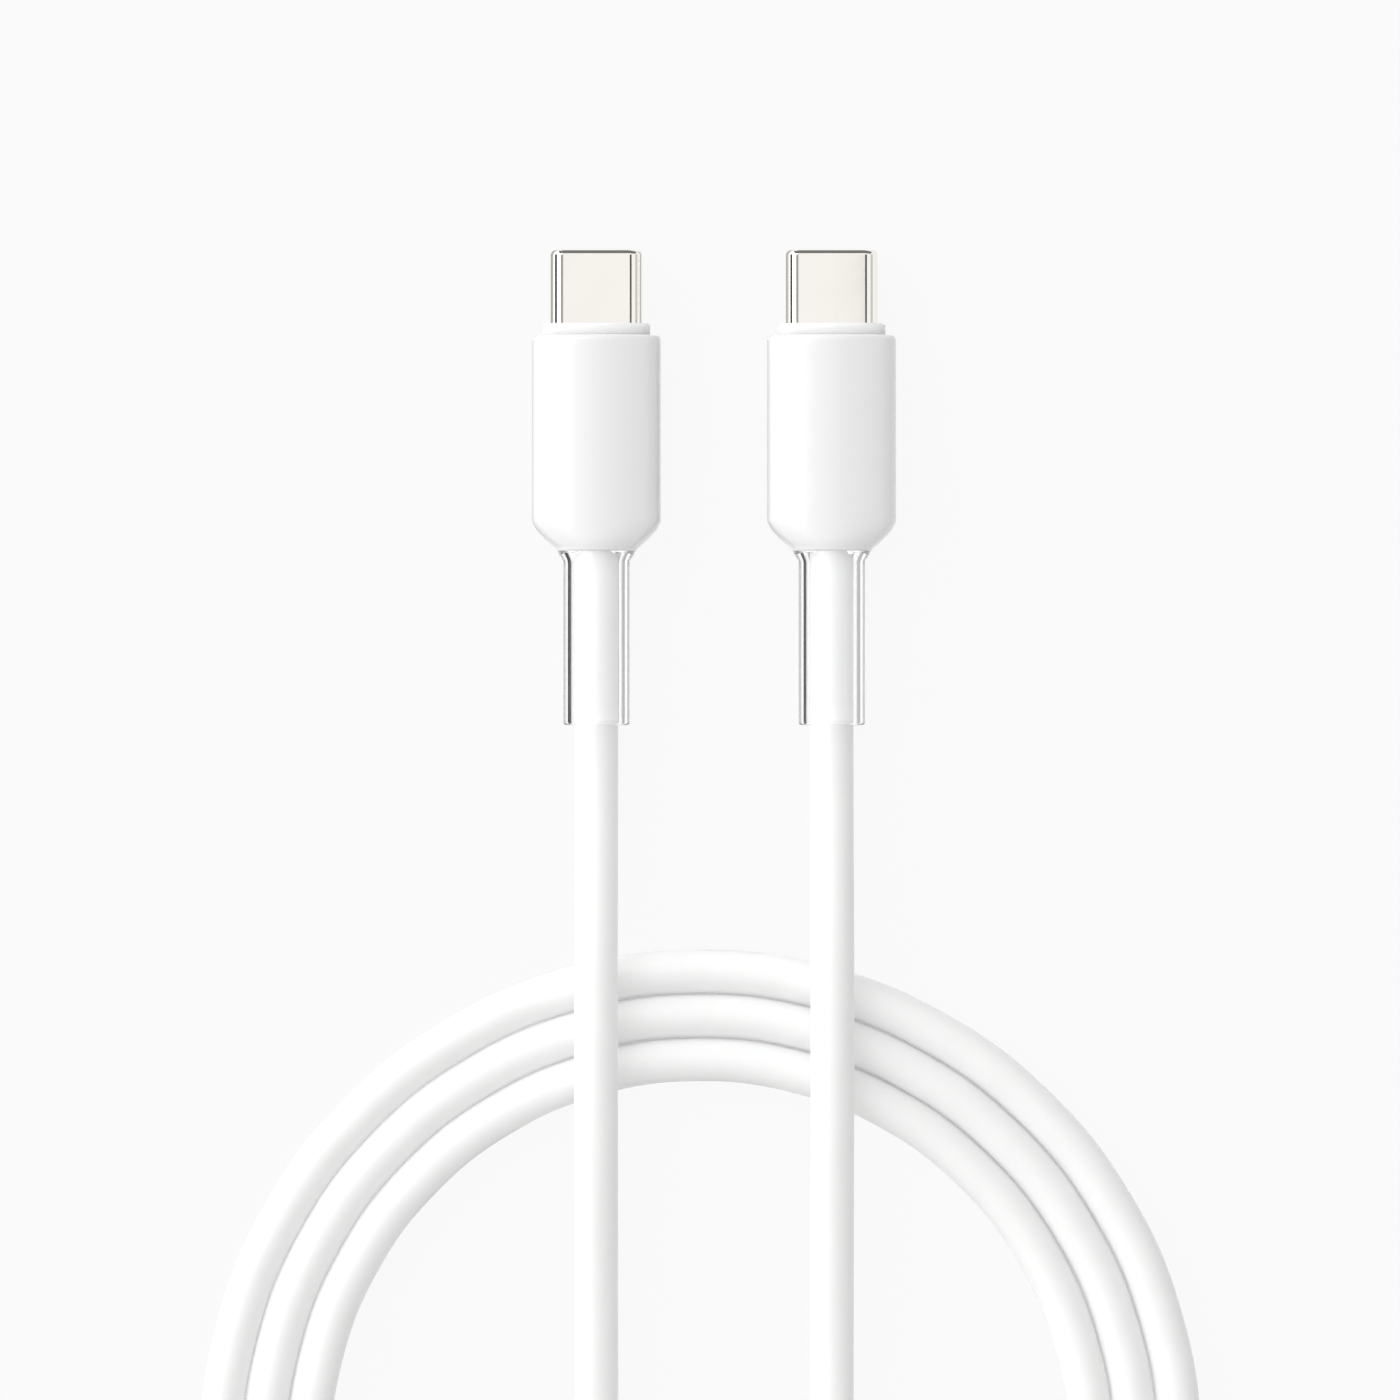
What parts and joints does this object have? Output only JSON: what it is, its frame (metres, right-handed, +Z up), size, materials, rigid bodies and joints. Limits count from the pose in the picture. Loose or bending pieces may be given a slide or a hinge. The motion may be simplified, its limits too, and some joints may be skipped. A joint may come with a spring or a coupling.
{
  "type": "charging cable",
  "caption": "Charging cable with a USB-C plug at each end, clear strain-relief sleeves, and its round cord laid in a flat ring.",
  "frame": {"origin": "on the surface that the cable lies on, midway between the two plugs and midway along their length", "axes": "+Y along both plugs, towards their tips; +Z up from the surface; +X from plug A to plug B"},
  "size_m": [0.089, 0.151, 0.0081],
  "materials": {
    "shell_steel": "nickel plated, satin",
    "insulator_plastic": "moulded, fine matt",
    "contact_gold": "gold plated",
    "latch_steel": "spring steel, plain",
    "spring_steel": "spring steel, plain",
    "collar_plastic": "moulded, gloss",
    "housing_plastic": "moulded, high gloss",
    "can_steel": "tinned sheet",
    "core_plastic": "moulded, plain",
    "card_board": "coated board",
    "capacitor_ceramic": "sintered, with tinned ends",
    "crimp_brass": "plain",
    "cord_jacket": "smooth, semi-gloss",
    "wire_red": "extruded insulation",
    "wire_black": "extruded insulation",
    "wire_green": "extruded insulation",
    "wire_white": "extruded insulation",
    "wire_blue": "extruded insulation",
    "clear_sleeve": "clear, polished"
  },
  "bodies": {
    "root": {"plug_a_shell": "shell_steel", "plug_a_insulator": "insulator_plastic", "plug_a_contacts_upper": "contact_gold", "plug_a_contacts_lower": "contact_gold", "plug_a_latch_plate": "latch_steel", "plug_a_spring_upper": "spring_steel", "plug_a_spring_lower": "spring_steel", "plug_a_collar": "collar_plastic", "plug_a_housing": "housing_plastic", "plug_a_can_upper": "can_steel", "plug_a_can_lower": "can_steel", "plug_a_core": "core_plastic", "plug_a_paddle_card": "card_board", "plug_a_capacitor": "capacitor_ceramic", "plug_a_crimp_ring": "crimp_brass", "plug_a_jacket": "cord_jacket", "plug_a_wire_power": "wire_red", "plug_a_wire_ground": "wire_black", "plug_a_wire_data_plus": "wire_green", "plug_a_wire_data_minus": "wire_white", "plug_a_wire_control": "wire_blue", "plug_a_sleeve": "clear_sleeve", "plug_b_shell": "shell_steel", "plug_b_insulator": "insulator_plastic", "plug_b_contacts_upper": "contact_gold", "plug_b_contacts_lower": "contact_gold", "plug_b_latch_plate": "latch_steel", "plug_b_spring_upper": "spring_steel", "plug_b_spring_lower": "spring_steel", "plug_b_collar": "collar_plastic", "plug_b_housing": "housing_plastic", "plug_b_can_upper": "can_steel", "plug_b_can_lower": "can_steel", "plug_b_core": "core_plastic", "plug_b_paddle_card": "card_board", "plug_b_capacitor": "capacitor_ceramic", "plug_b_crimp_ring": "crimp_brass", "plug_b_jacket": "cord_jacket", "plug_b_wire_power": "wire_red", "plug_b_wire_ground": "wire_black", "plug_b_wire_data_plus": "wire_green", "plug_b_wire_data_minus": "wire_white", "plug_b_wire_control": "wire_blue", "plug_b_sleeve": "clear_sleeve", "cord_run_a": "cord_jacket", "cord_coil": "cord_jacket", "cord_run_b": "cord_jacket"}
  },
  "joints": []
}
